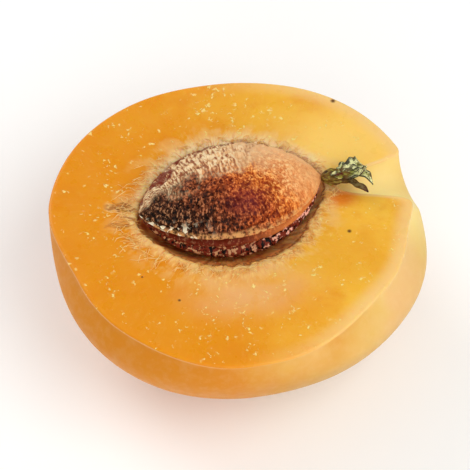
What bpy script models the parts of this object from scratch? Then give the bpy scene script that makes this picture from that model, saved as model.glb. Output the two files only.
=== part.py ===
"""Half an apricot with its stone and stem, lying on its rounded back with the cut face up.

Metres, +Z up. The origin is the middle of the small flat spot that the half rests on. +X points to
the stem end, and -Y to the side where the suture groove runs down the fruit.
"""

import math

import bmesh
import bpy
from mathutils import Matrix, Vector

MM = 0.001

# The fruit half, measured from the middle of its cut face.
CUT_HEIGHT = 19.4 * MM
BACK_DEPTH = 20.0 * MM  # down to the rounded back, before the flat spot is pressed into it
STEM_REACH = 26.8 * MM  # +X
TIP_REACH = 24.2 * MM  # -X
SUTURE_REACH = 24.0 * MM  # -Y
FAR_REACH = 24.0 * MM  # +Y
SQUARENESS = 2.15  # 2 would be an ellipsoid
SUTURE_DEPTH = 3.6 * MM  # at the stem end
SUTURE_TIP_SHARE = 0.65  # how much of that is left at the tip
SUTURE_FRONT_SHARE = 0.3  # and halfway between the two
SUTURE_SPREAD = 3.0 * MM

# The hollow at the stem end, which the cut halves: a wide shallow dip, and a funnel in it that
# reaches in almost to the stone's bed.
DIP_SIDE = 9.0 * MM  # how far it sits towards +Y
DIP_DEPTH = 1.2 * MM
DIP_SPREAD = 10.0 * MM
FUNNEL_SIDE = 4.0 * MM
FUNNEL_DEPTH = 10.2 * MM
FUNNEL_SPREAD = 2.8 * MM
FUNNEL_STEEPNESS = 3.0
RING_CROWDING = 1.5  # how much closer the mesh's rings lie at the stem than at the tip
CUT_TOLERANCE = 0.0001 * MM

# The stone, whose keel lies close to the cut. It has come loose and leans up on the suture side.
STONE_LENGTH = 24.8 * MM
STONE_WIDTH = 16.2 * MM
STONE_THICKNESS = 11.4 * MM
STONE_CENTRE = Vector((0.4 * MM, 3.6 * MM, CUT_HEIGHT + 0.9 * MM))
STONE_LEAN = math.radians(-7.0)
STONE_TURN = math.radians(6.0)
STONE_BLUNT_END = 1.3  # how sharp the tip end is; 1 would be an ellipsoid
STONE_SHARP_END = 1.5
STONE_CHEEK = 1.9 * MM  # how far the body swells below the keel on the side that leans up
KEEL_HEIGHT = 0.45 * MM
KEEL_SPREAD = 0.16  # share of the thickness
KEEL_RISE = 0.1  # how far the keel climbs on the side that leans up, as a share too

# The bed in the flesh, a little larger than the stone that grew in it.
BED_LENGTH = 27.4 * MM
BED_WIDTH = 20.2 * MM
BED_DEPTH = 5.3 * MM
BED_SLOPE = 1.3  # how gently the flesh climbs from below the stone to the rim on the suture side
BED_CENTRE = Vector((0.4 * MM, 2.8 * MM, CUT_HEIGHT))

# The stem, from the stone's point out into the hollow: (distance along it, radius).
STEM_START = Vector((13.1 * MM, 4.5 * MM, CUT_HEIGHT + 1.5 * MM))
STEM_RISE = math.radians(0.5)
STEM_TURN = math.radians(-8.0)
STEM_PROFILE = (
    (0.0, 0.8 * MM),
    (1.4 * MM, 1.1 * MM),
    (2.4 * MM, 1.0 * MM),
    (3.0 * MM, 1.2 * MM),
    (4.2 * MM, 1.6 * MM),
    (5.8 * MM, 1.7 * MM),
    (6.8 * MM, 1.4 * MM),
)
STEM_SIDES = 20


def new_object(name, mesh, material):
    obj = bpy.data.objects.new(name, mesh)
    bpy.context.scene.collection.objects.link(obj)
    if material:
        mesh.materials.append(material)
    return obj


def mesh_from(bm, name):
    bmesh.ops.recalc_face_normals(bm, faces=bm.faces)
    mesh = bpy.data.meshes.new(name)
    bm.to_mesh(mesh)
    bm.free()
    mesh.shade_smooth()
    mesh.set_sharp_from_angle(angle=math.radians(40))
    return mesh


def plain_material(name, colour, roughness):
    material = bpy.data.materials.new(name)
    material.use_nodes = True
    shader = material.node_tree.nodes["Principled BSDF"]
    shader.inputs["Base Color"].default_value = (*colour, 1.0)
    shader.inputs["Roughness"].default_value = roughness
    shader.inputs["Metallic"].default_value = 0.0
    return material


def smooth_step(low, high, value):
    """0 at low, 1 at high, and eased in between."""
    t = min(1.0, max(0.0, (value - low) / (high - low)))
    return t * t * (3.0 - 2.0 * t)


def mix(first, second, share):
    return first + (second - first) * share


def skin_point(direction):
    """Where the skin lies in this direction from the middle of the cut face."""
    n = SQUARENESS
    size = sum(abs(part) ** n for part in direction) ** (1.0 / n)
    x = direction.x * (STEM_REACH if direction.x > 0.0 else TIP_REACH) / size
    y = direction.y * (FAR_REACH if direction.y > 0.0 else SUTURE_REACH) / size
    z = direction.z * BACK_DEPTH / size
    # The suture is a groove in the cut's own plane, so each half has a rounded lip there.
    strength = mix(SUTURE_TIP_SHARE, 1.0, smooth_step(-0.6, 0.6, direction.x))
    strength *= mix(SUTURE_FRONT_SHARE, 1.0, smooth_step(0.1, 0.75, abs(direction.x)))
    strength *= smooth_step(0.3, -0.3, direction.y)
    groove = SUTURE_DEPTH * strength * math.exp(-((z / SUTURE_SPREAD) ** 2))
    across = max(math.hypot(x, y), MM)
    x -= groove * x / across
    y -= groove * y / across
    if x > 0.0:
        from_dip = math.hypot(y - DIP_SIDE, z)
        from_funnel = math.hypot(y - FUNNEL_SIDE, z)
        x -= DIP_DEPTH * math.exp(-((from_dip / DIP_SPREAD) ** 2))
        x -= FUNNEL_DEPTH * math.exp(-((from_funnel / FUNNEL_SPREAD) ** FUNNEL_STEEPNESS))
    return Vector((x, y, z))


def skin_direction(direction):
    """Moves the sphere's pole from +Z to the funnel, and crowds the rings towards it."""
    from_pole = math.acos(max(-1.0, min(1.0, direction.z)))
    angle = math.pi * (from_pole / math.pi) ** RING_CROWDING
    around = math.atan2(direction.x, direction.y)
    across = math.sin(angle)
    turned = Vector((math.cos(angle), across * math.cos(around), across * math.sin(around)))
    turned.rotate(Matrix.Rotation(math.atan2(FUNNEL_SIDE, STEM_REACH), 3, "Z"))
    return turned


def fruit_mesh():
    bm = bmesh.new()
    bmesh.ops.create_uvsphere(bm, u_segments=88, v_segments=56, radius=1.0)
    for vert in bm.verts:
        vert.co = skin_point(skin_direction(vert.co.normalized()))
    bmesh.ops.translate(bm, verts=bm.verts, vec=(0.0, 0.0, CUT_HEIGHT))
    cuts = ((CUT_HEIGHT, 1.0), (0.0, -1.0))
    for height, side in cuts:
        cut = bmesh.ops.bisect_plane(
            bm,
            geom=bm.verts[:] + bm.edges[:] + bm.faces[:],
            dist=CUT_TOLERANCE,
            plane_co=(0.0, 0.0, height),
            plane_no=(0.0, 0.0, side),
            clear_outer=True,
        )
        rim = [item for item in cut["geom_cut"] if isinstance(item, bmesh.types.BMEdge)]
        bmesh.ops.edgeloop_fill(bm, edges=rim)
    return mesh_from(bm, "fruit_half")


def egg_point(direction, length, width, thickness, keel, cheek, slope):
    """A flattened egg along X with a sharper end at +X: the stone, or the bed that holds it."""
    along = direction.x
    around = math.hypot(direction.y, direction.z)
    if around < 1e-6:
        return Vector((math.copysign(length / 2, along), 0.0, 0.0))
    sharpness = mix(STONE_BLUNT_END, STONE_SHARP_END, smooth_step(-0.4, 1.0, along))
    section = around**sharpness
    side = direction.y / around
    rise = direction.z / around
    near = smooth_step(0.0, 0.6, -side)
    ridge = keel * math.exp(-(((rise - KEEL_RISE * near) / KEEL_SPREAD) ** 2))
    swelling = cheek * smooth_step(0.08, 0.55, -rise) * near
    rise *= abs(rise) ** (slope * near)
    return Vector(
        (
            along * length / 2,
            side * section * (width / 2 + ridge + swelling),
            rise * section * thickness / 2,
        )
    )


def egg_mesh(name, shape, segments, rings):
    bm = bmesh.new()
    lying = Matrix.Rotation(math.radians(90), 4, "Y")
    bmesh.ops.create_uvsphere(
        bm, u_segments=segments, v_segments=rings, radius=1.0, matrix=lying
    )
    for vert in bm.verts:
        vert.co = egg_point(vert.co.normalized(), *shape)
    return mesh_from(bm, name)


def make_stone(material):
    shape = (STONE_LENGTH, STONE_WIDTH, STONE_THICKNESS, KEEL_HEIGHT, STONE_CHEEK, 0.0)
    stone = new_object("stone", egg_mesh("stone", shape, 48, 32), material)
    stone.location = STONE_CENTRE
    stone.rotation_euler = (STONE_LEAN, 0.0, STONE_TURN)
    return stone


def make_cutter(name, mesh):
    cutter = new_object(name, mesh, None)
    cutter.hide_render = True
    cutter.display_type = "WIRE"
    return cutter


def make_bed_cutter():
    shape = (BED_LENGTH, BED_WIDTH, 2 * BED_DEPTH, 0.0, 0.0, BED_SLOPE)
    cutter = make_cutter("bed_cutter", egg_mesh("bed", shape, 64, 40))
    cutter.location = BED_CENTRE
    cutter.rotation_euler = (0.0, 0.0, STONE_TURN)
    return cutter


def turned_mesh(name, profile, sides):
    """A round body along +X: profile is (distance along it, radius) from end to end."""
    bm = bmesh.new()
    start, first_radius = profile[0]
    facing = Matrix.Rotation(math.radians(90), 4, "Y")
    ring = bmesh.ops.create_circle(
        bm, cap_ends=True, segments=sides, radius=1.0, matrix=facing
    )["verts"]
    for vert in ring:
        vert.co = Vector((start, vert.co.y * first_radius, vert.co.z * first_radius))
    end_face = bm.faces[:][0]
    last_radius = first_radius
    for distance, radius in profile[1:]:
        made = bmesh.ops.extrude_face_region(bm, geom=[end_face] + end_face.edges[:])["geom"]
        end_face = [item for item in made if isinstance(item, bmesh.types.BMFace)][0]
        for vert in end_face.verts:
            vert.co.x = distance
            vert.co.y *= radius / last_radius
            vert.co.z *= radius / last_radius
        last_radius = radius
    return mesh_from(bm, name)


def make_stem(material):
    stem = new_object("stem", turned_mesh("stem", STEM_PROFILE, STEM_SIDES), material)
    stem.location = STEM_START
    stem.rotation_euler = (0.0, -STEM_RISE, STEM_TURN)
    return stem


def make_fruit(material, cutter):
    fruit = new_object("fruit_half", fruit_mesh(), material)
    cut = fruit.modifiers.new(cutter.name, "BOOLEAN")
    cut.operation = "DIFFERENCE"
    cut.object = cutter
    return fruit


def main():
    for obj in list(bpy.data.objects):
        bpy.data.objects.remove(obj)
    make_stone(plain_material("stone", (0.24, 0.09, 0.035), 0.6))
    make_stem(plain_material("stem", (0.16, 0.15, 0.04), 0.8))
    make_fruit(plain_material("fruit", (0.82, 0.36, 0.06), 0.4), make_bed_cutter())


main()
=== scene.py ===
import cmath
import math
import random

import bmesh
import bpy
from mathutils import Matrix, Vector, noise


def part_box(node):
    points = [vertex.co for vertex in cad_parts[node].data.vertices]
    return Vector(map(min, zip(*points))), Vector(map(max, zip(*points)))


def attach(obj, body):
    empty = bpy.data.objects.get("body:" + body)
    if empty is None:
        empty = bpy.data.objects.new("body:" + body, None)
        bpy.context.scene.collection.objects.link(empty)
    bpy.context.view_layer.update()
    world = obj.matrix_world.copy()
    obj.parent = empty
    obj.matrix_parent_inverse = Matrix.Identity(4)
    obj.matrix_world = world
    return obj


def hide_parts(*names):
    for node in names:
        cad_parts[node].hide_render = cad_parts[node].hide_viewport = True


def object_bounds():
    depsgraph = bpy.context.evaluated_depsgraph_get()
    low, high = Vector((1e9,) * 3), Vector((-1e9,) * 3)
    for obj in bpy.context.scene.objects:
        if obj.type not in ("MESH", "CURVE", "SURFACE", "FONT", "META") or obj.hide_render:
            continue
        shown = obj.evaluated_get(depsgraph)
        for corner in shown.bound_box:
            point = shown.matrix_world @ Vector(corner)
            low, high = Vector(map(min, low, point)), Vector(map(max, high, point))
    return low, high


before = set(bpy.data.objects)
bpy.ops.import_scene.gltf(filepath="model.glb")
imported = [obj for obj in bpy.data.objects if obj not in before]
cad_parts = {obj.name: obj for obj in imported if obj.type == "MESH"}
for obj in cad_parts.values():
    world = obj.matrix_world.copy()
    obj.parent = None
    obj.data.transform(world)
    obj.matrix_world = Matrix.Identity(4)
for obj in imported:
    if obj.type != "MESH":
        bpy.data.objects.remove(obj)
frameLow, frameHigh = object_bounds()
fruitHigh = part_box("fruit_half")[1]
mm = 0.001
cutHeight = fruitHigh.z
farOff = 20.0 * mm  # where a distance doesn't matter
print("frame loaded: cut face", round(cutHeight / mm, 1), "mm above the floor")


def clamp(value, low=0.0, high=1.0):
    return max(low, min(high, value))


def mix(a, b, share):
    return a + (b - a) * share


def smoothStep(low, high, value):
    t = clamp((value - low) / (high - low))
    return t * t * (3.0 - 2.0 * t)


def bell(distance, spread):
    return math.exp(-((distance / spread) ** 2))


def wobble(point, size, seed=0.0):
    # smooth noise from -1 to 1, with bumps about one size apart
    return noise.noise(Vector(point) / size + Vector((seed, seed * 1.7, seed * 0.6)))


def newObject(name, data):
    made = bpy.data.objects.new(name, data)
    bpy.context.scene.collection.objects.link(made)
    return made


def newPiece(bm, name, materials):
    bmesh.ops.recalc_face_normals(bm, faces=bm.faces)
    mesh = bpy.data.meshes.new(name)
    bm.to_mesh(mesh)
    bm.free()
    mesh.shade_smooth()
    for material in materials:
        mesh.materials.append(material)
    piece = newObject(name, mesh)
    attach(piece, "root")
    return piece


def only(kind, items):
    return [item for item in items if isinstance(item, kind)]


def ringVerts(ring):
    return list({vert for edge in ring for vert in edge.verts})


def keepPlaces(ring, start):
    for vert in ringVerts(ring):
        vert[start] = vert.co


def growBand(bm, ring, rows, share, place, finish=0):
    # grows a band of faces from an open edge loop, split into rows; share runs from 0 to 1 across
    # it, and place gives each new vertex its spot
    for vert in bm.verts:
        vert[share] = 0.0
    made = bmesh.ops.extrude_edge_only(bm, edges=ring)["geom"]
    far = set(only(bmesh.types.BMVert, made))
    for vert in far:
        vert[share] = 1.0
    for face in only(bmesh.types.BMFace, made):
        face.material_index = finish
    inner = [edge for edge in only(bmesh.types.BMEdge, made) if far.issuperset(edge.verts)]
    spokes = [edge for vert in far for edge in vert.link_edges if edge.other_vert(vert) not in far]
    bmesh.ops.subdivide_edges(bm, edges=spokes, cuts=rows - 1, use_grid_fill=True)
    for vert in bm.verts:
        if vert[share] > 0.0:
            vert.co = place(vert, vert[share])
    return inner


def closeRing(bm, ring, middle):
    # the last row of a round patch, drawn in to one point
    far = bmesh.ops.extrude_edge_only(bm, edges=ring)["geom"]
    bmesh.ops.pointmerge(bm, verts=only(bmesh.types.BMVert, far), merge_co=middle)


def denseSphere(bm, around, along, turn=Matrix.Identity(4)):
    # a fine unit sphere with its poles on Z before the turn
    bmesh.ops.create_uvsphere(bm, u_segments=around // 4, v_segments=along // 4, radius=1.0, matrix=turn)
    bmesh.ops.subdivide_edges(bm, edges=bm.edges, cuts=3, use_grid_fill=True)


# surfaces: short helpers that build the node trees

def paint(red, green, blue):
    # an sRGB colour from 0 to 255 as the linear colour that a shader wants
    linear = [((c / 255 + 0.055) / 1.055) ** 2.4 if c > 10 else c / 255 / 12.92 for c in (red, green, blue)]
    return (*linear, 1.0)


def fill(node, inputs):
    # a plain value is set on the node's own socket, and a socket is linked to it
    for name, value in inputs.items():
        if isinstance(value, bpy.types.NodeSocket):
            node.id_data.links.new(value, node.inputs[name])
        else:
            node.inputs[name].default_value = value


def addNode(kind, inputs, tree=None, **settings):
    # the node joins the tree that its inputs come from
    if tree is None:
        tree = next(value.id_data for value in inputs.values() if isinstance(value, bpy.types.NodeSocket))
    node = tree.nodes.new(kind)
    for name, value in settings.items():
        setattr(node, name, value)
    fill(node, inputs)
    return node


def newMaterial(name, sockets):
    material = bpy.data.materials.new(name)
    material.use_nodes = True
    shader = material.node_tree.nodes["Principled BSDF"]
    fill(shader, sockets)
    return material, shader


def coordinates(shader):
    return addNode("ShaderNodeTexCoord", {}, shader.id_data).outputs["Object"]


def attribute(shader, name, output="Fac"):
    return addNode("ShaderNodeAttribute", {}, shader.id_data, attribute_name=name).outputs[output]


def split(vector):
    return addNode("ShaderNodeSeparateXYZ", {0: vector}).outputs


def stretched(vector, scale, turn=(0.0, 0.0, 0.0), shift=(0.0, 0.0, 0.0)):
    inputs = {"Vector": vector, "Scale": scale, "Rotation": turn, "Location": shift}
    return addNode("ShaderNodeMapping", inputs).outputs["Vector"]


def grains(vector, size, detail=3.0, roughness=0.5, distortion=0.0):
    inputs = {
        "Vector": vector,
        "Scale": 1.0 / size,
        "Detail": detail,
        "Roughness": roughness,
        "Distortion": distortion,
    }
    return addNode("ShaderNodeTexNoise", inputs).outputs["Fac"]


def cells(vector, size):
    inputs = {"Vector": vector, "Scale": 1.0 / size}
    return addNode("ShaderNodeTexVoronoi", inputs).outputs["Distance"]


def remap(value, low, high, start=0.0, end=1.0):
    inputs = {"Value": value, "From Min": low, "From Max": high, "To Min": start, "To Max": end}
    return addNode("ShaderNodeMapRange", inputs, interpolation_type="SMOOTHSTEP").outputs["Result"]


def calculate(operation, a, b=0.0):
    return addNode("ShaderNodeMath", {0: a, 1: b}, operation=operation).outputs[0]


def plus(a, b):
    return calculate("ADD", a, b)


def times(*values):
    result = values[0]
    for value in values[1:]:
        result = calculate("MULTIPLY", result, value)
    return result


def blended(share, a, b):
    # the Mix node's colours are inputs 6 and 7 and output 2
    return addNode("ShaderNodeMix", {0: share, 6: a, 7: b}, data_type="RGBA").outputs[2]


def washed(colour, tone, *shares):
    # a tone laid over a colour, as strongly as its shares multiplied
    return blended(times(*shares), colour, tone)


def layered(colour, look, *layers):
    # tones of a look laid over a colour in turn, each a name and its shares
    for tone, *shares in layers:
        colour = washed(colour, look[tone], *shares)
    return colour


def graded(value, stops):
    # a colour ramp through (position, colour) stops
    node = addNode("ShaderNodeValToRGB", {"Fac": value})
    ramp = node.color_ramp
    ramp.elements[0].position, ramp.elements[0].color = stops[0]
    ramp.elements[1].position, ramp.elements[1].color = stops[-1]
    for position, colour in stops[1:-1]:
        ramp.elements.new(position).color = colour
    return node.outputs["Color"]


def nearSpot(vector, spot, reach):
    # 1 at a spot, 0 beyond its reach along each axis
    inverse = [1.0 / size for size in reach]
    moved = stretched(vector, inverse, shift=[-place / size for place, size in zip(spot, reach)])
    distance = addNode("ShaderNodeVectorMath", {0: moved}, operation="LENGTH").outputs["Value"]
    return remap(distance, 1.0, 0.15)


def cutSpot(place, spot, reach):
    # the same in millimetres, with the spot's height measured from the cut
    x, y, rise = spot
    return nearSpot(place, (x * mm, y * mm, cutHeight + rise * mm), [size * mm for size in reach])


def raised(height, distance, strength, under=None):
    inputs = {"Height": height, "Distance": distance, "Strength": strength}
    if under is not None:
        inputs["Normal"] = under
    return addNode("ShaderNodeBump", inputs).outputs["Normal"]


# the half's flesh and skin, one piece as they grew

fruit = {
    "backDepth": 20.0 * mm,
    "stemReach": 26.8 * mm,
    "tipReach": 24.2 * mm,
    "sutureReach": 24.0 * mm,
    "farReach": fruitHigh.y,
    "squareness": 2.15,
    "sutureDepth": 3.6 * mm,
    "sutureTipShare": 0.65,
    "sutureFrontShare": 0.3,
    "sutureSpread": 3.0 * mm,
    "dipSide": 9.0 * mm,  # the wide dip at the stem end
    "dipDepth": 1.2 * mm,
    "dipSpread": 10.0 * mm,
    "funnelSide": 4.0 * mm,  # and the narrow funnel in it
    "funnelDepth": 10.2 * mm,
    "funnelSpread": 2.8 * mm,
    "funnelSteepness": 3.0,
    "around": 360,
    "along": 220,
    "ringCrowding": 1.5,
    "lumpDepth": 0.22 * mm,
    "lumpSize": 9.0 * mm,
    "edgeRound": 0.3 * mm,
    "edgeRings": 4,
    "faceRings": 56,
    "bedRings": 24,
    "spotRings": 8,
}

bed = {
    "centre": Vector((0.4 * mm, 2.8 * mm, 0.0)),
    "length": 27.4 * mm,
    "width": 20.2 * mm,
    "depth": 5.3 * mm,
    "slope": 1.3,  # how gently it climbs to the rim on the suture side
    "turn": math.radians(6.0),
    "bluntEnd": 1.3,
    "sharpEnd": 1.5,
    "ragged": 0.28 * mm,
    "lip": 0.22 * mm,
    "lipSpread": 1.1 * mm,
    "tipHug": 0.9 * mm,  # how much closer the flesh stands round the stone's blunt end
    "stemHug": 0.9 * mm,  # and round its sharp end
    "fibreLift": 0.08 * mm,
    "rayLength": 9.0 * mm,  # outwards, for one step of the rays' noise
}


def skinPoint(direction):
    # where the skin lies in this direction from the middle of the cut face
    n = fruit["squareness"]
    size = sum(abs(part) ** n for part in direction) ** (1.0 / n)
    x = direction.x * (fruit["stemReach"] if direction.x > 0.0 else fruit["tipReach"]) / size
    y = direction.y * (fruit["farReach"] if direction.y > 0.0 else fruit["sutureReach"]) / size
    z = direction.z * fruit["backDepth"] / size
    strength = mix(fruit["sutureTipShare"], 1.0, smoothStep(-0.6, 0.6, direction.x))
    strength *= mix(fruit["sutureFrontShare"], 1.0, smoothStep(0.1, 0.75, abs(direction.x)))
    strength *= smoothStep(0.3, -0.3, direction.y)
    groove = fruit["sutureDepth"] * strength * bell(z, fruit["sutureSpread"])
    across = max(math.hypot(x, y), mm)
    x -= groove * x / across
    y -= groove * y / across
    if x > 0.0:
        fromDip = math.hypot(y - fruit["dipSide"], z)
        fromFunnel = math.hypot(y - fruit["funnelSide"], z)
        x -= fruit["dipDepth"] * bell(fromDip, fruit["dipSpread"])
        steep = (fromFunnel / fruit["funnelSpread"]) ** fruit["funnelSteepness"]
        x -= fruit["funnelDepth"] * math.exp(-steep)
    point = Vector((x, y, z))
    lump = 0.5 + 0.5 * wobble(point, fruit["lumpSize"], 3.1)
    return point * (1.0 - fruit["lumpDepth"] * lump / point.length)


def skinDirection(direction):
    # the sphere's pole goes to the funnel, and its rings crowd towards it
    fromPole = math.acos(clamp(direction.z, -1.0, 1.0))
    angle = math.pi * (fromPole / math.pi) ** fruit["ringCrowding"]
    around = math.atan2(direction.x, direction.y)
    across = math.sin(angle)
    turned = Vector((math.cos(angle), across * math.cos(around), across * math.sin(around)))
    turned.rotate(Matrix.Rotation(math.atan2(fruit["funnelSide"], fruit["stemReach"]), 3, "Z"))
    return turned


def bedSection(along):
    # half the bed's width at a share of its half length, where 1 is its widest
    sharpness = mix(bed["bluntEnd"], bed["sharpEnd"], smoothStep(-0.4, 1.0, along))
    return max(0.0, 1.0 - along * along) ** (sharpness / 2)


def bedReach(angle):
    # how far the bed's rim is from its centre at an angle
    aim = angle - bed["turn"]
    cosine, sine = math.cos(aim), abs(math.sin(aim))
    low, high = 0.0, bed["length"]
    for halving in range(30):
        reach = (low + high) / 2
        along = reach * cosine / (bed["length"] / 2)
        inside = abs(along) < 1.0 and reach * sine < bedSection(along) * bed["width"] / 2
        low, high = (reach, high) if inside else (low, reach)
    return low


def rimHug(angle):
    # how much closer than that the flesh comes at the stone's two ends
    tip = bed["tipHug"] * smoothStep(0.45, 1.0, -math.cos(angle))
    return tip + bed["stemHug"] * smoothStep(0.85, 1.0, math.cos(angle + math.radians(10)))


def bedDepth(x, y):
    # how deep the bed is below the cut, at a place measured from its centre
    turned = Vector((x, y, 0.0))
    turned.rotate(Matrix.Rotation(-bed["turn"], 3, "Z"))
    section = bedSection(clamp(turned.x / (bed["length"] / 2), -1.0, 1.0))
    if section < 1e-4:
        return 0.0
    side = clamp(turned.y / (section * bed["width"] / 2), -1.0, 1.0)
    fall = math.sqrt(1.0 - side * side)
    return bed["depth"] * section * fall ** (1.0 + bed["slope"] * smoothStep(0.0, 0.6, -side))


def faceRelief(x, y, angle, toBed, toSkin):
    # gentle waves left by the knife, fibres drawn out towards the stone, and the bed's torn lip
    place = Vector((x, y, 0.0))
    waves = 0.07 * mm * wobble(place, 5.0 * mm, 1.0) + 0.03 * mm * wobble(place, 1.7 * mm, 2.0)
    ray = Vector((math.cos(angle), math.sin(angle), toBed / bed["rayLength"]))
    fibres = bed["fibreLift"] * noise.noise(ray * 11.0) * bell(toBed, 3.5 * mm)
    fibres += 0.4 * bed["fibreLift"] * noise.noise(ray * 31.0) * bell(toBed, 6.0 * mm)
    lip = bed["lip"] * (0.7 + 0.6 * noise.noise(ray * 5.0)) * bell(toBed, bed["lipSpread"])
    corner = 0.3 * mm * math.exp(-toBed / (0.22 * mm))
    # a shallow trough under the stem, from the bed to the funnel
    trough = 0.8 * mm * bell(y - 4.2 * mm, 1.2 * mm) * smoothStep(12.0 * mm, 14.2 * mm, x)
    trough *= smoothStep(17.0 * mm, 15.0 * mm, x)
    return (waves + fibres + lip - corner) * smoothStep(0.0, 1.0 * mm, toSkin) - trough


def cutOpen(bm):
    # halves the fruit and flattens the spot it rests on
    for height, side in ((0.0, 1.0), (-cutHeight, -1.0)):
        bmesh.ops.bisect_plane(
            bm,
            geom=bm.verts[:] + bm.edges[:] + bm.faces[:],
            dist=0.0001 * mm,
            plane_co=(0.0, 0.0, height),
            plane_no=(0.0, 0.0, side),
            clear_outer=True,
        )
    rims = [edge for edge in bm.edges if edge.is_boundary]
    top = [edge for edge in rims if edge.verts[0].co.z > -cutHeight / 2]
    spot = [edge for edge in rims if edge.verts[0].co.z < -cutHeight / 2]
    return top, spot


def makeFruit(materials):
    bm = bmesh.new()
    numbers, vectors = bm.verts.layers.float, bm.verts.layers.float_vector
    toSkin, toBed, share, evenRim = (numbers.new(name) for name in ("toSkin", "toBed", "share", "evenRim"))
    # polar is the angle, the reach and the bed's torn rim there
    ray, start, inward, polar = (vectors.new(name) for name in ("ray", "start", "inward", "polar"))
    denseSphere(bm, fruit["around"], fruit["along"])
    for vert in bm.verts:
        vert.co = skinPoint(skinDirection(vert.co.normalized()))
    top, spot = cutOpen(bm)
    bmesh.ops.recalc_face_normals(bm, faces=bm.faces)
    bm.normal_update()
    for vert in ringVerts(top):
        vert[inward] = -Vector((vert.normal.x, vert.normal.y, 0.0)).normalized()

    # the skin's edge sinks a little to make room for its rounding
    sink = 2.0 * mm
    for vert in bm.verts:
        vert[toBed] = farOff
        if vert.co.z > -sink:
            vert.co.z -= fruit["edgeRound"] * (1.0 + vert.co.z / sink) ** 2

    # the flat spot that it rests on
    keepPlaces(spot, start)
    middle = Vector((0.0, 0.0, -cutHeight))

    def drawnIn(vert, t):
        return Vector(vert[start]).lerp(middle, 0.95 * t)

    ring = growBand(bm, spot, fruit["spotRings"], share, drawnIn)
    closeRing(bm, ring, middle)

    def rounded(vert, t):
        turn = math.radians(90) * t
        out = Vector(vert[start]) + Vector(vert[inward]) * fruit["edgeRound"] * (1.0 - math.cos(turn))
        return Vector((out.x, out.y, fruit["edgeRound"] * (math.sin(turn) - 1.0)))

    keepPlaces(top, start)
    ring = growBand(bm, top, fruit["edgeRings"], share, rounded, 1)

    # the cut face, from the skin to the bed
    for vert in ringVerts(ring):
        out = vert.co - bed["centre"]
        angle = math.atan2(out.y, out.x)
        tear = noise.noise(Vector((math.cos(angle) * 9.0, math.sin(angle) * 9.0, 0.0)))
        tear += 0.6 * noise.noise(Vector((math.cos(angle) * 27.0, math.sin(angle) * 27.0, 5.0)))
        vert[evenRim] = bedReach(angle)
        torn = vert[evenRim] + bed["ragged"] * tear - rimHug(angle)
        vert[polar] = (angle, math.hypot(out.x, out.y), torn)

    def onFace(vert, t):
        angle, reach, rimReach = vert[polar]
        here = mix(reach, rimReach, 1.0 - (1.0 - t) ** 1.25)
        x = bed["centre"].x + here * math.cos(angle)
        y = bed["centre"].y + here * math.sin(angle)
        vert[toSkin] = reach - here
        vert[toBed] = here - rimReach
        vert[ray] = (math.cos(angle), math.sin(angle), here / bed["rayLength"])
        return Vector((x, y, faceRelief(x, y, angle, here - rimReach, reach - here)))

    ring = growBand(bm, ring, fruit["faceRings"], share, onFace, 1)

    # the bed of the stone
    keepPlaces(ring, start)

    def inBed(vert, t):
        angle, _, rimReach = vert[polar]
        left = math.cos(math.radians(88) * t)
        here = rimReach * left
        x, y = here * math.cos(angle), here * math.sin(angle)
        evenly = vert[evenRim] / rimReach
        place = Vector((x, y, -bedDepth(x * evenly, y * evenly)))
        rough = 0.2 * mm * wobble(place, 1.5 * mm, 4.0) + 0.1 * mm * wobble(place, 0.6 * mm, 6.0)
        vert[toBed] = place.z - 0.1 * mm * t
        vert[toSkin] = farOff
        vert[ray] = (math.cos(angle), math.sin(angle), here / bed["rayLength"])
        z = vert[start][2] * left + place.z + rough * smoothStep(0.0, 0.1, t)
        return Vector((bed["centre"].x + x, bed["centre"].y + y, z))

    ring = growBand(bm, ring, fruit["bedRings"], share, inBed, 2)
    closeRing(bm, ring, bed["centre"] + Vector((0.0, 0.0, -bed["depth"])))
    bmesh.ops.translate(bm, verts=bm.verts, vec=(0.0, 0.0, cutHeight))
    for name in ("start", "inward", "polar"):
        vectors.remove(vectors[name])
    for name in ("share", "evenRim"):
        numbers.remove(numbers[name])
    piece = newPiece(bm, "fruit_flesh", materials)
    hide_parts("fruit_half")
    return piece


# the finishes of the skin, the flesh and the bed

fleshLook = {
    "tipSide": paint(227, 144, 6),  # deeper orange at the tip
    "stemSide": paint(243, 192, 66),  # yellower at the stem
    "paintedLight": paint(248, 204, 104),
    "deep": paint(224, 136, 2),
    "ripe": paint(231, 168, 42),
    "cream": paint(240, 200, 132),
    "peach": paint(234, 178, 118),
    "milky": paint(250, 222, 176),
    "pale": paint(252, 226, 140),
    "speck": paint(88, 44, 14),
    "rust": paint(216, 108, 10),
    "vein": paint(170, 100, 30),
    "stainAndShadow": paint(168, 76, 34),
}


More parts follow.
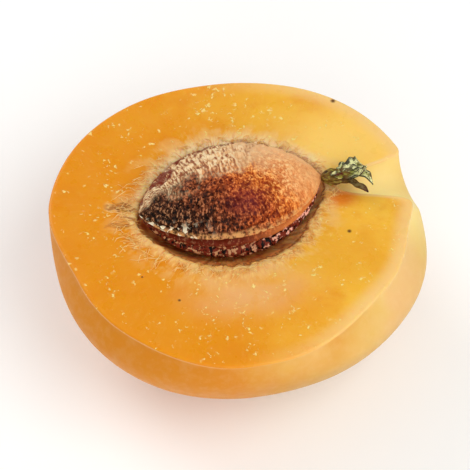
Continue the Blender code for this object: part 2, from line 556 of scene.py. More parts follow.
def fleshMaterial():
    material, shader = newMaterial("apricotFlesh", {
        "Roughness": 0.36,
        "IOR": 1.38,
        "Subsurface Weight": 0.4,
        "Subsurface Radius": (1.0, 0.55, 0.16),
        "Subsurface Scale": 1.6 * mm,
        "Specular IOR Level": 0.35,
        "Coat Weight": 0.15,
        "Coat Roughness": 0.14,
        "Coat IOR": 1.36,
    })
    place = coordinates(shader)
    ray = attribute(shader, "ray", "Vector")
    toSkin = attribute(shader, "toSkin")
    toBed = attribute(shader, "toBed")
    x, y = split(place)[:2]
    # the base runs from deeper orange at the tip to yellower at the stem: painted light, paler towards the
    # key lamp on the right
    wander = remap(grains(place, 9.0 * mm, 3.0), 0.3, 0.7, -5.0 * mm, 5.0 * mm)
    along = remap(plus(x, plus(times(y, 0.12), wander)), -15.0 * mm, 28.0 * mm)
    clouds = remap(grains(place, 5.0 * mm, 4.0, 0.6), 0.45, 0.75, 0.0, 0.6)
    # a painted pool of light at the upper right, where the key lamp falls on the cut face
    paintedLight = cutSpot(place, (16.0, 10.0, 0.0), (14.0, 11.0, 14.0))
    ripe = cutSpot(place, (15.0, -8.0, 0.0), (9.0, 8.0, 9.0))

    # paler round the stone and in the clear patch in front of it; a painted highlight along the rim under the
    # skin, and a painted shadow under the stem
    fibrous = grains(stretched(ray, (12.0, 12.0, 3.0)), 1.0, 4.0, 0.65, 0.6)
    uneven = plus(times(fibrous, 0.2), times(grains(place, 3.2 * mm, 4.0), 0.8))
    spread = remap(uneven, 0.38, 0.62, 1.4 * mm, 5.5 * mm)
    halo = remap(calculate("DIVIDE", toBed, spread), 1.0, 0.0)
    milky = times(remap(toBed, 2.4 * mm, 0.2 * mm), remap(y, 3.0 * mm, 11.0 * mm))
    patch = cutSpot(place, (0.5, -11.5, 0.0), (12.0, 6.0, 9.0))
    patch = times(patch, remap(grains(place, 4.0 * mm, 4.0), 0.25, 0.6, 0.35, 1.0))
    # a painted highlight along the rim just under the skin, growing towards the right
    underSkin = remap(toSkin, 2.4 * mm, 0.1 * mm)
    rimLight = times(underSkin, remap(x, -4.0 * mm, 17.0 * mm, 0.0, 0.8))
    # a painted shadow under the stem's tuft
    stemShadow = cutSpot(place, (15.0, 1.6, 0.0), (3.2, 2.4, 6.0))

    # a painted shadow line where the far rim meets the stone, more so towards the stem
    farRimShadow = times(remap(toBed, 0.85 * mm, 0.45 * mm), remap(y, 3.0 * mm, 6.0 * mm))
    farRimShadow = times(farRimShadow, remap(x, 1.0 * mm, 4.0 * mm), remap(grains(place, 1.4 * mm, 3.0), 0.4, 0.5))

    # rays close to the stone, and pale flecks of pulp in clusters, partly painted glints on the wet pulp
    rays = grains(stretched(ray, (36.0, 36.0, 7.0)), 1.0, 3.0, 0.6, 0.5)
    raysHere = remap(toBed, 0.3 * mm, 4.5 * mm, 1.0, 0.1)
    drawn = times(remap(rays, 0.52, 0.68, 0.0, 0.4), raysHere)
    strands = times(remap(rays, 0.46, 0.36, 0.0, 0.6), remap(toBed, 3.0 * mm, 0.0))
    turned = stretched(place, (1.0, 1.0, 1.0), (0.0, 0.0, 0.5))
    flecks = grains(turned, 0.6 * mm, 2.0, 0.55, 0.4)
    clusters = grains(place, 2.2 * mm, 2.0)
    for spot, reach in (
        ((-15.5, 6.0, 0.0), (4.5, 12.0, 9.0)),
        ((2.0, 19.0, 0.0), (6.0, 6.0, 9.0)),
        ((-4.0, -15.0, 0.0), (12.0, 6.5, 9.0)),
    ):
        clusters = plus(clusters, times(cutSpot(place, spot, reach), 0.14))
    flecks = times(remap(flecks, 0.6, 0.68), remap(clusters, 0.52, 0.64))
    colour = layered(
        blended(along, fleshLook["tipSide"], fleshLook["stemSide"]),
        fleshLook,
        ("deep", clouds),
        ("paintedLight", paintedLight, 0.95),
        ("ripe", ripe, 0.7),
        ("cream", halo, 0.8),
        ("milky", milky, 0.7),
        ("peach", patch, 0.75),
        ("cream", rimLight),
        ("rust", stemShadow, 0.85),
        ("stainAndShadow", farRimShadow, 0.65),
        ("pale", drawn),
        ("rust", strands),
        ("pale", flecks, 0.9),
    )

    # two brown veins from the stone's blunt end, and a few dark specks
    for start, end in (((-16.4, 4.9), (-11.6, 3.7)), ((-14.4, 3.2), (-11.2, 1.3))):
        run = math.hypot(end[0] - start[0], end[1] - start[1])
        turn = -math.atan2(end[1] - start[1], end[0] - start[0])
        middle = Vector(((start[0] + end[0]) / 2, (start[1] + end[1]) / 2, 0.0)) * mm
        middle.rotate(Matrix.Rotation(turn, 3, "Z"))
        bent = split(stretched(place, (1.0, 1.0, 0.0), (0.0, 0.0, turn), -middle))
        stray = remap(grains(place, 1.6 * mm, 3.0), 0.3, 0.7, -0.4 * mm, 0.4 * mm)
        off = calculate("ABSOLUTE", plus(bent["Y"], stray))
        length = remap(calculate("ABSOLUTE", bent["X"]), run * 0.55 * mm, run * 0.32 * mm)
        vein = times(length, remap(off, 0.3 * mm, 0.05 * mm))
        beside = times(length, remap(off, 0.2 * mm, 0.8 * mm, 0.7, 0.0))
        colour = layered(colour, fleshLook, ("cream", beside), ("vein", vein, 0.85))
    for right, back, size in ((16.8, 18.3, 0.5), (14.9, -4.0, 0.42), (-8.6, -11.6, 0.3), (-12.8, -7.2, 0.22)):
        dark = cutSpot(place, (right, back, 0.0), (size, size, 3.0))
        colour = washed(colour, fleshLook["speck"], dark, 0.95)

    wet = remap(grains(place, 2.0 * mm, 3.0), 0.35, 0.7, 0.26, 0.5)
    pulp = grains(place, 0.7 * mm, 4.0, 0.6)
    surface = raised(pulp, 0.05 * mm, 0.6)
    surface = raised(times(rays, raysHere), 0.1 * mm, 0.7, surface)
    surface = raised(flecks, 0.08 * mm, 0.8, surface)
    fill(shader, {"Base Color": colour, "Roughness": wet, "Normal": surface, "Coat Normal": surface})
    return material


skinLook = {
    "yellow": paint(232, 194, 106),
    "orange": paint(214, 132, 14),
    "blush": paint(206, 92, 34),
    "fuzzAndHighlight": paint(252, 230, 180),
    "peach": paint(236, 186, 128),
    "under": paint(190, 138, 46),
    "hollow": paint(255, 232, 154),
}


def skinMaterial():
    material, shader = newMaterial("apricotSkin", {
        "Roughness": 0.5,
        "IOR": 1.4,
        "Subsurface Weight": 0.3,
        "Subsurface Radius": (1.0, 0.5, 0.15),
        "Subsurface Scale": 1.4 * mm,
        "Specular IOR Level": 0.3,
        "Sheen Weight": 0.06,
        "Sheen Roughness": 0.45,
        "Sheen Tint": skinLook["fuzzAndHighlight"],
    })
    place = coordinates(shader)
    x, y, z = split(place)
    drift = remap(grains(place, 12.0 * mm, 3.0), 0.25, 0.75, -5.0 * mm, 5.0 * mm)
    along = remap(plus(x, drift), -4.0 * mm, 19.0 * mm)
    facing = remap(y, 4.0 * mm, -14.0 * mm)
    peach = times(remap(x, 2.0 * mm, 16.0 * mm), facing, remap(drift, -5.0 * mm, 5.0 * mm))
    # painted shade: darker lower down, more so towards the stem end
    under = times(remap(z, 18.5 * mm, 9.0 * mm), remap(x, -6.0 * mm, 8.0 * mm))
    # painted light in the stem's funnel, where it faces up towards the lamps
    hollow = cutSpot(place, (21.0, 1.0, -2.0), (9.0, 10.0, 12.0))

    # the back, away from the suture, ripened red in the sun
    low = remap(z, 19.0 * mm, 4.0 * mm)
    cheek = remap(plus(y, drift), -6.0 * mm, 20.0 * mm)
    blush = times(low, remap(cheek, 0.0, 1.0, 0.0, 0.8))
    freckles = remap(cells(place, 1.6 * mm), 0.16, 0.02)
    freckles = times(freckles, remap(grains(place, 5.0 * mm), 0.5, 0.66), cheek)
    mottle = remap(grains(place, 1.2 * mm, 4.0, 0.6), 0.4, 0.7, 0.0, 0.06)
    # a painted highlight along the skin's cut edge, stronger towards the tip
    edge = remap(z, cutHeight - 0.6 * mm, cutHeight - 0.1 * mm, 0.0, 0.6)
    edge = times(edge, remap(x, 2.0 * mm, -12.0 * mm, 0.2, 1.0))
    colour = layered(
        blended(along, skinLook["orange"], skinLook["yellow"]),
        skinLook,
        ("peach", peach, 0.8),
        ("under", under, 0.8),
        ("hollow", hollow, 0.9),
        ("blush", blush),
        ("blush", freckles, 0.45),
        ("fuzzAndHighlight", mottle),
        ("fuzzAndHighlight", edge),
    )
    bloom = remap(grains(place, 3.0 * mm, 3.0), 0.3, 0.7, 0.42, 0.6)
    pores = remap(cells(place, 0.55 * mm), 0.0, 0.5)
    surface = raised(pores, 0.015 * mm, 0.4)
    surface = raised(grains(place, 0.25 * mm, 2.0), 0.01 * mm, 0.4, surface)
    fill(shader, {"Base Color": colour, "Roughness": bloom, "Normal": surface})
    return material


bedLook = {
    "edge": paint(248, 188, 104),
    "stained": paint(255, 164, 84),
    "dark": paint(214, 92, 42),
    "line": paint(170, 84, 34),
    "paintedLight": paint(255, 204, 128),
    "thread": paint(250, 218, 156),
}


def bedMaterial():
    material, shader = newMaterial("stoneBed", {
        "Roughness": 0.4,
        "IOR": 1.38,
        "Subsurface Weight": 0.4,
        "Subsurface Radius": (1.0, 0.4, 0.12),
        "Subsurface Scale": 1.2 * mm,
        "Specular IOR Level": 0.35,
        "Coat Weight": 0.15,
        "Coat Roughness": 0.2,
    })
    place = coordinates(shader)
    ray = attribute(shader, "ray", "Vector")
    inside = attribute(shader, "toBed")
    rays = grains(stretched(ray, (20.0, 20.0, 5.0)), 1.0, 4.0, 0.6)
    ragged = plus(inside, remap(rays, 0.3, 0.7, -0.4 * mm, 0.4 * mm))
    stainAndShadow = remap(grains(place, 1.6 * mm, 4.0, 0.6), 0.42, 0.6, 0.0, 0.85)
    stainAndShadow = times(stainAndShadow, remap(ragged, -1.6 * mm, -0.5 * mm, 1.0, 0.2))
    x = split(place)["X"]
    # painted light on the bed's right wall, which lies in the stone's shadow
    sunlit = times(remap(x, 3.0 * mm, 11.0 * mm), remap(rays, 0.4, 0.6, 0.4, 0.9))
    line = times(remap(ragged, -0.1 * mm, -0.3 * mm), remap(ragged, -0.75 * mm, -0.5 * mm))
    colour = layered(
        blended(remap(ragged, -0.9 * mm, -0.1 * mm), bedLook["stained"], bedLook["edge"]),
        bedLook,
        ("dark", stainAndShadow),
        ("paintedLight", sunlit),
        ("line", line, 0.8),
        ("thread", remap(rays, 0.58, 0.7, 0.0, 0.7)),
    )
    surface = raised(rays, 0.15 * mm, 0.8)
    surface = raised(grains(place, 0.4 * mm, 3.0), 0.05 * mm, 0.6, surface)
    fill(shader, {"Base Color": colour, "Normal": surface})
    return material


flesh = makeFruit([skinMaterial(), fleshMaterial(), bedMaterial()])
print("fruit made:", len(flesh.data.polygons), "faces")


# the stone, loose in its bed

stone = {
    "centre": Vector((0.4 * mm, 3.6 * mm, cutHeight + 0.9 * mm)),
    "length": 24.8 * mm,
    "width": 16.2 * mm,
    "thickness": 11.4 * mm,
    "lean": math.radians(-7.0),
    "turn": math.radians(6.0),
    "keelHeight": 0.4 * mm,
    "keelRise": 0.1,  # on the side that leans up, where it is worn
    "keelSpread": 0.05,
    "lowRidge": 0.25 * mm,  # a second ridge runs below the keel, with a groove between them
    "lowRise": -0.14,
    "lowSpread": 0.06,
    "cheek": 1.9 * mm,
    "around": 272,
    "along": 192,
    "pitDepth": 0.42 * mm,
    "pitSize": 1.15 * mm,
    "grainDepth": 0.22 * mm,
    "grainSize": 0.6 * mm,
}


def stonePoint(direction):
    # a flattened egg along X with a sharper end at +X, and a keel round its edge
    along = direction.x
    around = math.hypot(direction.y, direction.z)
    if around < 1e-6:
        return Vector((math.copysign(stone["length"] / 2, along), 0.0, 0.0)), Vector((along, 0.0, 0.0))
    section = around ** mix(bed["bluntEnd"], bed["sharpEnd"], smoothStep(-0.4, 1.0, along))
    side = direction.y / around
    rise = direction.z / around
    near = smoothStep(0.0, 0.6, -side)
    crest = stone["keelRise"] * near
    ridge = stone["keelHeight"] * bell(rise - crest, stone["keelSpread"])
    low = stone["lowRidge"] * near * bell(rise - stone["lowRise"], stone["lowSpread"])
    groove = 0.3 * mm * near * bell(rise - mix(crest, stone["lowRise"], 0.5), stone["lowSpread"])
    # the body swells below the keel on the side that leans up
    cheek = stone["cheek"] * smoothStep(0.08, 0.55, -rise) * near
    y = side * section * (stone["width"] / 2 + ridge + low - groove + cheek)
    z = rise * section * stone["thickness"] / 2
    return Vector((along * stone["length"] / 2, y, z)), Vector((along, side, rise))


def makeStone(materials):
    bm = bmesh.new()
    pitLayer = bm.verts.layers.float.new("pit")
    lay = bm.verts.layers.float_vector.new("lay")
    burst = bm.verts.layers.float_vector.new("burst")
    lying = Matrix.Rotation(math.radians(90), 4, "Y")
    denseSphere(bm, stone["around"], stone["along"], lying)
    focus = math.sqrt(stone["length"] ** 2 - stone["width"] ** 2) / 2
    for vert in bm.verts:
        direction = vert.co.normalized()
        point, where = stonePoint(direction)
        # elliptic coordinates, whose lines meet the outline squarely, the same on both sides
        bearing = cmath.acosh(complex(point.x, point.y) / focus)
        spoke = Vector((math.cos(bearing.imag), abs(math.sin(bearing.imag)), 0.0))
        reach = bearing.real / math.atanh(stone["width"] / stone["length"])
        pits = max(0.0, wobble(point, stone["pitSize"], 1.0) - 0.02)
        pits += 0.6 * max(0.0, wobble(point, 0.7 * mm, 2.0))
        rough = 0.5 + 0.5 * wobble(point, stone["grainSize"], 3.0)
        comb = noise.noise(Vector((spoke.x * 20.0, spoke.y * 20.0, reach * 3.5)))
        crest = bell(where.z - stone["keelRise"], 0.07) + bell(where.z - stone["lowRise"], 0.08)
        calm = 1.0 - 0.7 * clamp(crest)
        calm *= mix(1.0, 0.35, smoothStep(0.35, 0.9, where.x))
        depth = (stone["pitDepth"] * pits * 1.7 + stone["grainDepth"] * rough) * calm
        depth += 0.3 * mm * max(0.0, comb) * smoothStep(0.2, 0.7, where.y) * smoothStep(0.4, 0.0, where.x)
        depth *= smoothStep(0.0, 0.25, math.sqrt(max(0.0, 1.0 - where.x**2)))
        inward = Vector((0.0, point.y, point.z * 1.6))
        vert.co = point - inward.normalized() * depth if inward.length > 1e-7 else point
        vert[pitLayer] = clamp(pits * 2.0)
        vert[lay] = where
        vert[burst] = (spoke.x, spoke.y, reach)
    bmesh.ops.rotate(bm, verts=bm.verts, matrix=Matrix.Rotation(stone["lean"], 3, "X"))
    bmesh.ops.rotate(bm, verts=bm.verts, matrix=Matrix.Rotation(stone["turn"], 3, "Z"))
    bmesh.ops.translate(bm, verts=bm.verts, vec=stone["centre"])
    piece = newPiece(bm, "stone_shell", materials)
    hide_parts("stone")
    return piece


# from the blunt end to the sharp one: the shell, its hollows and its grains
stoneLook = {
    "stops": (0.0, 0.24, 0.44, 0.66, 0.88),
    "shell": ((72, 36, 17), (122, 54, 24), (176, 78, 32), (232, 132, 54), (242, 172, 108)),
    "hollow": ((9, 4, 2), (36, 11, 4), (96, 24, 10), (156, 56, 16), (208, 120, 62)),
    "grain": ((180, 128, 90), (190, 106, 64), (236, 136, 72), (255, 190, 104), (255, 220, 158)),
    "highlight": paint(228, 184, 134),
    "dash": paint(255, 230, 184),
    "gap": paint(136, 58, 30),
    "tan": paint(246, 196, 142),
    "white": paint(252, 240, 208),
    "keel": paint(222, 160, 96),
    "groove": paint(108, 32, 8),
    "grooveSharp": paint(208, 120, 58),
    "plum": paint(118, 42, 24),
    "wine": paint(122, 34, 42),
    "maroon": paint(120, 30, 16),
    "umber": paint(132, 78, 40),
    "ash": paint(194, 142, 100),
    "rose": paint(255, 186, 164),
}


def stoneMaterial():
    material, shader = newMaterial("stoneShell", {
        "Roughness": 0.5,
        "IOR": 1.45,
        "Specular IOR Level": 0.1,
        "Subsurface Weight": 0.06,
        "Subsurface Radius": (1.0, 0.5, 0.25),
        "Subsurface Scale": 0.6 * mm,
        "Coat Weight": 0.03,
        "Coat Roughness": 0.2,
    })
    place = coordinates(shader)
    burst = attribute(shader, "burst", "Vector")
    outer = split(burst)["Z"]
    pit = attribute(shader, "pit")
    lay = attribute(shader, "lay", "Vector")
    along, side, rise = split(lay)
    near = remap(side, 0.05, -0.2)
    drift = remap(grains(place, 2.6 * mm, 4.0, 0.6), 0.3, 0.7, -0.13, 0.13)
    zone = remap(plus(plus(along, drift), times(side, 0.55)), -1.22, 0.88)
    shell, hollow, grain = (
        graded(zone, [(stop, paint(*tone)) for stop, tone in zip(stoneLook["stops"], stoneLook[part])])
        for part in ("shell", "hollow", "grain")
    )
    calm = remap(along, 0.3, 0.9, 1.0, 0.35)
    speckle = grains(place, 0.46 * mm, 3.0, 0.65)
    streaky = grains(stretched(burst, (40.0, 40.0, 22.0)), 1.0, 2.0, 0.6)
    even = grains(place, 0.3 * mm, 2.0, 0.6)
    middle = remap(outer, 0.3, 0.55)
    fine = plus(times(streaky, middle), times(even, remap(middle, 1.0, 0.0)))
    speckle = plus(times(speckle, 0.55), times(fine, 0.45))
    colour = blended(times(remap(speckle, 0.49, 0.43), calm), shell, hollow)
    colour = washed(colour, hollow, pit, 0.6, calm)
    colour = washed(colour, grain, remap(speckle, 0.53, 0.58), calm, 0.9)
    pocks = remap(cells(place, 0.66 * mm), 0.36, 0.26)
    pocks = times(pocks, remap(grains(place, 1.5 * mm, 2.0), 0.42, 0.52), calm)
    colour = washed(colour, hollow, pocks, 0.85)

    # a painted highlight on the far shoulder, with short pale dashes square to its outline that are partly
    # painted glints and partly pale fibres
    wine = nearSpot(lay, (0.06, -0.62, 0.62), (0.34, 0.42, 0.5))
    drifting = plus(along, drift)
    lifted = plus(side, times(drift, 1.5))
    shoulderHighlight = remap(lifted, -0.3, 0.2)
    shoulder = times(shoulderHighlight, remap(drifting, 0.4, 0.0))
    dashes = grains(stretched(burst, (28.0, 28.0, 8.0)), 1.0, 2.0, 0.5, 0.2)
    colour = layered(
        colour,
        stoneLook,
        ("wine", wine, 0.45),
        ("tan", remap(lifted, -0.1, 0.6), 0.65),
        ("highlight", shoulderHighlight, remap(drifting, 0.7, 0.2, 0.0, 0.7)),
        ("gap", shoulder, remap(dashes, 0.48, 0.4, 0.0, 0.85)),
        ("dash", shoulder, remap(dashes, 0.51, 0.58, 0.0, 0.8)),
    )

    # below the far shoulder, a painted shadow along the stone's outline where it meets the flesh, redder at
    # the blunt end
    far = times(remap(side, 0.3, 0.6), remap(plus(rise, drift), 0.74, 0.6))
    stainAndShadow = blended(remap(along, -0.4, 0.1), stoneLook["maroon"], stoneLook["umber"])
    colour = washed(colour, stainAndShadow, far, 0.85)
    corner = cutSpot(place, (-8.8, 5.9, 3.2), (3.2, 2.2, 3.0))
    corner = times(remap(corner, 0.05, 0.35), remap(grains(place, 1.0 * mm, 3.0), 0.36, 0.46))
    colour = washed(colour, stoneLook["maroon"], corner, 0.9)

    # the keel, the groove below it and the pitted underside
    crest, low = stone["keelRise"], stone["lowRise"]
    under = times(near, remap(rise, low + 0.03, low - 0.06))
    plum = blended(remap(speckle, 0.51, 0.45), stoneLook["plum"], paint(*stoneLook["hollow"][0]))
    dots = grains(place, 0.62 * mm, 2.0, 0.6)
    dotted = blended(remap(along, -0.1, 0.6), stoneLook["ash"], stoneLook["rose"])
    plum = blended(remap(dots, 0.53, 0.6), plum, dotted)
    colour = washed(colour, plum, under)
    groove = blended(remap(along, -0.1, 0.6), stoneLook["groove"], stoneLook["grooveSharp"])
    cut = times(near, remap(rise, crest - 0.05, crest - 0.1), remap(rise, low - 0.06, low))
    cut = times(cut, remap(speckle, 0.56, 0.5, 0.5, 1.0))
    colour = washed(colour, groove, cut)
    worn = times(near, remap(rise, crest - 0.09, crest - 0.05), remap(rise, crest + 0.13, crest + 0.04))
    patchy = remap(grains(place, 0.7 * mm, 4.0, 0.7), 0.42, 0.58, 0.1, 0.95)
    colour = washed(colour, stoneLook["keel"], worn, patchy)
    blobs = times(
        remap(grains(place, 0.85 * mm, 2.0, 0.6, 0.4), 0.5, 0.56),
        remap(grains(place, 1.2 * mm, 2.0), 0.42, 0.5),
        remap(along, -0.25, -0.7),
        near,
        remap(rise, crest + 0.5, crest + 0.1),
        remap(rise, crest - 0.12, crest - 0.05),
    )
    colour = washed(colour, stoneLook["white"], blobs)
    gloss = remap(speckle, 0.35, 0.65, 0.35, 0.65)
    surface = raised(times(dashes, shoulder), 0.25 * mm, 0.8)
    surface = raised(times(speckle, calm), 0.3 * mm, 0.9, surface)
    fill(shader, {"Base Color": colour, "Roughness": gloss, "Normal": surface})
    return material


shell = makeStone([stoneMaterial()])
print("stone made:", len(shell.data.polygons), "faces")


# the stub of the stem, and the dried calyx frayed round its end

stem = {
    "start": Vector((12.7 * mm, 4.45 * mm, cutHeight + 1.25 * mm)),
    "turn": math.radians(-8.0),
    "profile": ((0.0, 0.4), (0.5, 0.75), (1.2, 1.05), (2.0, 0.95), (2.6, 0.75), (3.2, 0.8), (3.8, 0.6)),
    "sides": 40,
    "rows": 34,
    "ridges": 7,
    "ridgeDepth": 0.13 * mm,
}

# each lobe: where it leaves, which way, how long and wide, and how far it curls up or down
calyx = {
    "lobes": (
        {"at": 1.7, "heading": 112, "pitch": 52, "length": 2.6, "width": 1.5, "curl": 150},
        {"at": 2.7, "heading": 32, "pitch": 30, "length": 4.3, "width": 2.5, "curl": -85},
        {"at": 2.9, "heading": 6, "pitch": 42, "length": 4.6, "width": 2.4, "curl": -105},
        {"at": 3.0, "heading": -16, "pitch": 8, "length": 4.2, "width": 2.0, "curl": 70},
        {"at": 2.6, "heading": -32, "pitch": -8, "length": 5.4, "width": 0.95, "curl": 55},
        {"at": 2.2, "heading": -95, "pitch": 12, "length": 2.2, "width": 1.2, "curl": 120},
        {"at": 2.4, "heading": 78, "pitch": 34, "length": 2.8, "width": 1.3, "curl": -70},
    ),
    "longest": 4,  # the number of the longest lobe, which is browner
    "across": 10,
    "steps": 22,
    "thick": 0.13 * mm,
}


def stemPlace():
    return Matrix.Translation(stem["start"]) @ Matrix.Rotation(stem["turn"], 4, "Z")


def stubRadius(distance):
    profile = stem["profile"]
    for (start, low), (end, high) in zip(profile, profile[1:]):
        if distance <= end:
            return mix(low, high, smoothStep(start, end, distance)) * mm
    return profile[-1][1] * mm


def makeStub(materials):
    bm = bmesh.new()
    share = bm.verts.layers.float.new("share")
    angles = bm.verts.layers.float.new("angle")
    facing = Matrix.Rotation(math.radians(90), 4, "Y")
    bmesh.ops.create_circle(bm, segments=stem["sides"], radius=1.0, matrix=facing)
    length = stem["profile"][-1][0]

    def around(vert, distance, size=1.0):
        angle = vert[angles]
        twist = angle * stem["ridges"] + distance * 0.9
        rough = noise.noise(Vector((distance * 2.0, math.cos(angle) * 3.0, math.sin(angle) * 3.0)))
        radius = (stubRadius(distance) + stem["ridgeDepth"] * (math.cos(twist) + rough)) * size
        return Vector((distance * mm, radius * math.cos(angle), radius * math.sin(angle)))

    for vert in bm.verts:
        vert[angles] = math.atan2(vert.co.z, vert.co.y)
        vert.co = around(vert, 0.0)
    near = bm.edges[:]
    far = growBand(bm, near, stem["rows"], share, lambda vert, t: around(vert, length * t))
    for end, ring in ((0.0, near), (length, far)):
        inner = growBand(bm, ring, 3, share, lambda vert, t: around(vert, end, 1.0 - 0.8 * t))
        bmesh.ops.edgeloop_fill(bm, edges=inner)
    bmesh.ops.transform(bm, matrix=stemPlace(), verts=bm.verts)
    piece = newPiece(bm, "stem_stub", materials)
    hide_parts("stem")
    return piece


def makeLobe(index, lobe, materials):
    # a dried sepal: a strip that narrows to a ragged point, folded along its middle and curled
    bm = bmesh.new()
    spread = bm.verts.layers.float_vector.new("spread")
    bmesh.ops.create_grid(bm, x_segments=calyx["steps"], y_segments=calyx["across"], size=0.5)
    length = lobe["length"] * mm
    for vert in bm.verts:
        along = vert.co.x + 0.5
        across = vert.co.y * 2.0
        vert[spread] = (along, abs(across), index)
        taper = math.sin(math.pi * min(0.5, 0.2 + along * 0.75)) * (1.0 - along**5.0)
        wide = lobe["width"] / 2 * mm * taper
        tear = 1.0 + 0.45 * noise.noise(Vector((along * 7.0, math.copysign(3.0, across), index * 2.3)))
        wide *= mix(1.0, tear, smoothStep(0.2, 0.9, abs(across)))
        y = across * max(wide, 0.05 * mm)
        fold = 0.45 * abs(y) + 0.12 * mm * math.sin(along * 11.0 + index) * abs(across)
        bend = math.radians(lobe["curl"]) * along
        radius = length / math.radians(lobe["curl"])
        x = radius * math.sin(bend) - fold * math.sin(bend)
        z = radius * (1.0 - math.cos(bend)) + fold * math.cos(bend)
        crumple = 0.14 * mm * noise.noise(Vector((along * 5.0, across * 1.5, index * 5.1)))
        twist = Matrix.Rotation(0.6 * along * math.sin(index * 2.0), 3, "X")
        vert.co = twist @ Vector((x, y, z + crumple))
    pitch = Matrix.Rotation(-math.radians(lobe["pitch"]), 4, "Y")
    heading = Matrix.Rotation(math.radians(lobe["heading"]), 4, "Z")
    root = Matrix.Translation((lobe["at"] * mm, 0.0, 0.0))
    bmesh.ops.transform(bm, matrix=stemPlace() @ root @ heading @ pitch, verts=bm.verts)
    piece = newPiece(bm, f"calyx_lobe_{index + 1}", materials)
    wall = piece.modifiers.new("thickness", "SOLIDIFY")
    wall.thickness = calyx["thick"]
    wall.offset = 0.0
    smooth = piece.modifiers.new("smooth", "SUBSURF")
    smooth.levels = 1
    smooth.render_levels = 1
    return piece


stemLook = {
    "olive": paint(124, 94, 26),
    "bark": paint(96, 64, 18),
    "soot": paint(16, 11, 4),
    "green": paint(150, 152, 58),
    "straw": paint(248, 246, 176),
    "rust": paint(84, 22, 12),
}


def barkMaterial():
    material, shader = newMaterial("stemBark", {"Roughness": 0.6, "IOR": 1.45, "Specular IOR Level": 0.3})
    place = coordinates(shader)
    streaks = grains(stretched(place, (0.5, 1.6, 1.6)), 0.6 * mm, 4.0, 0.65)
    colour = graded(remap(streaks, 0.32, 0.68), [
        (0.0, stemLook["soot"]),
        (0.3, stemLook["bark"]),
        (0.75, stemLook["olive"]),
        (1.0, stemLook["green"]),
    ])
    fill(shader, {"Base Color": colour, "Normal": raised(streaks, 0.12 * mm, 0.8)})
    return material


def calyxMaterial():
    # pale green along each lobe's middle, with pale straw patches that are painted highlights; dark where it
    # is folded, torn or joined, partly the dried lobe's own colour and partly painted shade
    material, shader = newMaterial("driedCalyx", {"Roughness": 0.55, "IOR": 1.45, "Specular IOR Level": 0.3})
    place = coordinates(shader)
    along, across, index = split(attribute(shader, "spread", "Vector"))
    veins = grains(stretched(place, (0.5, 1.6, 1.6)), 0.5 * mm, 3.0, 0.6)
    patches = grains(place, 1.0 * mm, 2.0)
    worn = plus(across, remap(veins, 0.3, 0.7, -0.4, 0.4))
    colour = layered(
        blended(remap(patches, 0.38, 0.56), stemLook["green"], stemLook["straw"]),
        stemLook,
        ("soot", remap(veins, 0.5, 0.4, 0.0, 0.9)),
        ("soot", remap(worn, 0.6, 0.95, 0.0, 0.95)),
        ("bark", remap(along, 0.35, 0.05)),
        ("rust", remap(along, 0.6, 0.95), remap(patches, 0.55, 0.4)),
    )
    longest = remap(calculate("ABSOLUTE", plus(index, -calyx["longest"])), 0.5, 0.4)
    dim = blended(remap(along, 0.5, 0.85), stemLook["bark"], stemLook["rust"])
    colour = washed(colour, dim, longest, 0.85)
    fill(shader, {"Base Color": colour, "Normal": raised(veins, 0.12 * mm, 0.8)})
    return material


makeStub([barkMaterial()])
lobeMaterial = calyxMaterial()
for index, lobe in enumerate(calyx["lobes"]):
    makeLobe(index, lobe, [lobeMaterial])
print("stem made: a stub and", len(calyx["lobes"]), "calyx lobes")


# torn fibres of the flesh: pale ones round the bed's rim and brown ones beyond the stone's blunt end

fibres = {
    "rimCount": 300,
    "rimLength": (0.5, 1.7),
    "radius": 0.045 * mm,
    "tipCount": 16,
    "sides": 1,
}


def newStrands(name, material):
    curve = bpy.data.curves.new(name, "CURVE")
    curve.dimensions = "3D"
    curve.bevel_depth = 1.0
    curve.bevel_resolution = fibres["sides"]
    curve.use_fill_caps = True
    curve.materials.append(material)
    piece = newObject(name, curve)
    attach(piece, "root")
    return piece


def addStrand(piece, points, radius):
    # one fibre through its points, thin at both ends
    spline = piece.data.splines.new("POLY")
    spline.points.add(len(points) - 1)
    for index, (spot, point) in enumerate(zip(spline.points, points)):
        spot.co = (*point, 1.0)
        spot.radius = radius * (0.35 + 0.65 * math.sin(math.pi * (index + 0.5) / len(points)))


def rimPoint(angle, out, lift):
    # a place on the cut face, measured outwards from the bed's rim
    reach = bedReach(angle) - rimHug(angle) + out
    x = bed["centre"].x + reach * math.cos(angle)
    y = bed["centre"].y + reach * math.sin(angle)
    return Vector((x, y, cutHeight + lift))


def rimFibre(piece, angle, inner, outer, slant, arch):
    # a strand that leaves the flesh outside the rim and lies towards the stone
    points = []
    for step in range(6):
        t = step / 5
        swing = angle + slant * t + 0.012 * math.sin(t * 9.0 + angle * 40.0)
        lift = arch * math.sin(math.pi * min(1.0, t * 1.1)) - 0.02 * mm
        overLip = bed["lip"] * 0.7 * (1.0 - abs(2.0 * t - 1.0))
        points.append(rimPoint(swing, mix(outer, inner, t), lift + overLip))
    addStrand(piece, points, fibres["radius"])


def strandMaterial(name, colour, tint):
    material, shader = newMaterial(name, {
        "Roughness": 0.4,
        "Subsurface Weight": 0.3,
        "Subsurface Radius": (1.0, 0.6, 0.3),
        "Subsurface Scale": 0.4 * mm,
        "Specular IOR Level": 0.35,
    })
    mottle = remap(grains(coordinates(shader), 0.9 * mm, 3.0), 0.4, 0.6)
    fill(shader, {"Base Color": blended(mottle, colour, tint)})
    return material


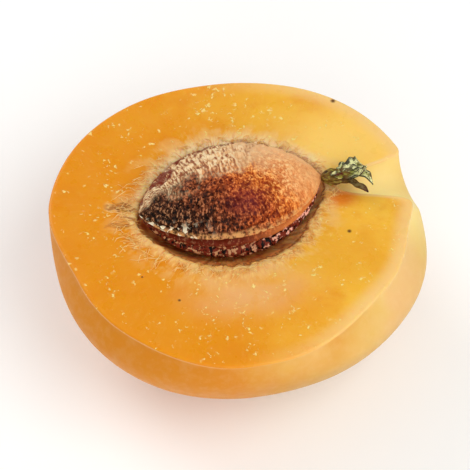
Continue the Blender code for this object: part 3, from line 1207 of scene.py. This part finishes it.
def makeFibres():
    draw = random.Random(7)
    pale = newStrands("rim_fibres", strandMaterial("paleFibre", paint(250, 214, 140), paint(240, 176, 84)))
    for _ in range(fibres["rimCount"]):
        angle = draw.uniform(-math.pi, math.pi)
        blunt = smoothStep(0.3, 1.0, -math.cos(angle))
        length = draw.uniform(*fibres["rimLength"]) * mm * (1.0 + 0.8 * blunt)
        outer = length * draw.uniform(0.75, 1.0) + draw.uniform(0.0, 0.8) * mm * (1.0 + 1.8 * blunt)
        rimFibre(pale, angle, outer - length, outer, draw.gauss(0.0, 0.09), draw.uniform(0.02, 0.3) * mm)
    brown = newStrands("tip_fibres", strandMaterial("brownFibre", paint(176, 108, 40), paint(214, 150, 64)))
    for _ in range(fibres["tipCount"]):
        angle = math.radians(draw.choice((173.5, 182.0)) + draw.gauss(0.0, 1.6))
        outer = draw.uniform(2.2, 4.4) * mm
        rimFibre(brown, angle, outer - draw.uniform(2.4, 4.2) * mm, outer, draw.gauss(0.02, 0.02), 0.04 * mm)


makeFibres()
print("fibres made")


# the studio: a pale floor, soft light and the camera

studio = {
    "aim": Vector((0.3 * mm, -0.8 * mm, cutHeight - 2.0 * mm)),
    "azimuth": -9.0,
    "elevation": 52.5,
    "lens": 190.0,
    "share": 0.8,  # how much of the view's width the fruit fills
    "floor": paint(246, 245, 243),
}


def stand(item, azimuth, elevation, distance, aim=Vector()):
    # puts a camera or a light at a distance from its aim, facing it
    a, e = math.radians(azimuth), math.radians(elevation)
    back = Vector((math.sin(a) * math.cos(e), -math.cos(a) * math.cos(e), math.sin(e)))
    item.location = aim + back * distance
    item.rotation_euler = (-back).to_track_quat("-Z", "Y").to_euler()


def addCamera():
    data = bpy.data.cameras.new("camera")
    data.lens = studio["lens"]
    data.clip_start = 0.001
    camera = newObject("camera", data)
    width = frameHigh.x - frameLow.x
    distance = width / studio["share"] * data.lens / data.sensor_width
    stand(camera, studio["azimuth"], studio["elevation"], distance, studio["aim"])
    bpy.context.scene.camera = camera


def addLight(name, azimuth, elevation, distance, size, power):
    data = bpy.data.lights.new(name, "AREA")
    data.size = size
    data.energy = power
    stand(newObject(name, data), azimuth, elevation, distance)


def addFloor():
    bm = bmesh.new()
    bmesh.ops.create_grid(bm, x_segments=1, y_segments=1, size=2.0)
    mesh = bpy.data.meshes.new("floor")
    bm.to_mesh(mesh)
    bm.free()
    paper = newMaterial("floorPaper", {
        "Base Color": studio["floor"],
        "Roughness": 0.9,
        "Emission Color": (0.94, 0.98, 1.0, 1.0),
        "Emission Strength": 0.1,
    })[0]
    mesh.materials.append(paper)
    newObject("floor", mesh)


def addWorld():
    world = bpy.data.worlds.new("studio")
    world.use_nodes = True
    backdrop = world.node_tree.nodes["Background"]
    backdrop.inputs["Color"].default_value = (1.0, 0.99, 0.97, 1.0)
    backdrop.inputs["Strength"].default_value = 0.42
    bpy.context.scene.world = world


bpy.context.scene.view_settings.view_transform = "Standard"
addFloor()
addWorld()
addCamera()
addLight("key", 50.0, 50.0, 0.6, 0.5, 1.9)
addLight("front", -15.0, 30.0, 0.7, 0.5, 1.3)
addLight("rim", 215.0, 35.0, 0.6, 0.35, 1.3)
print("studio made")
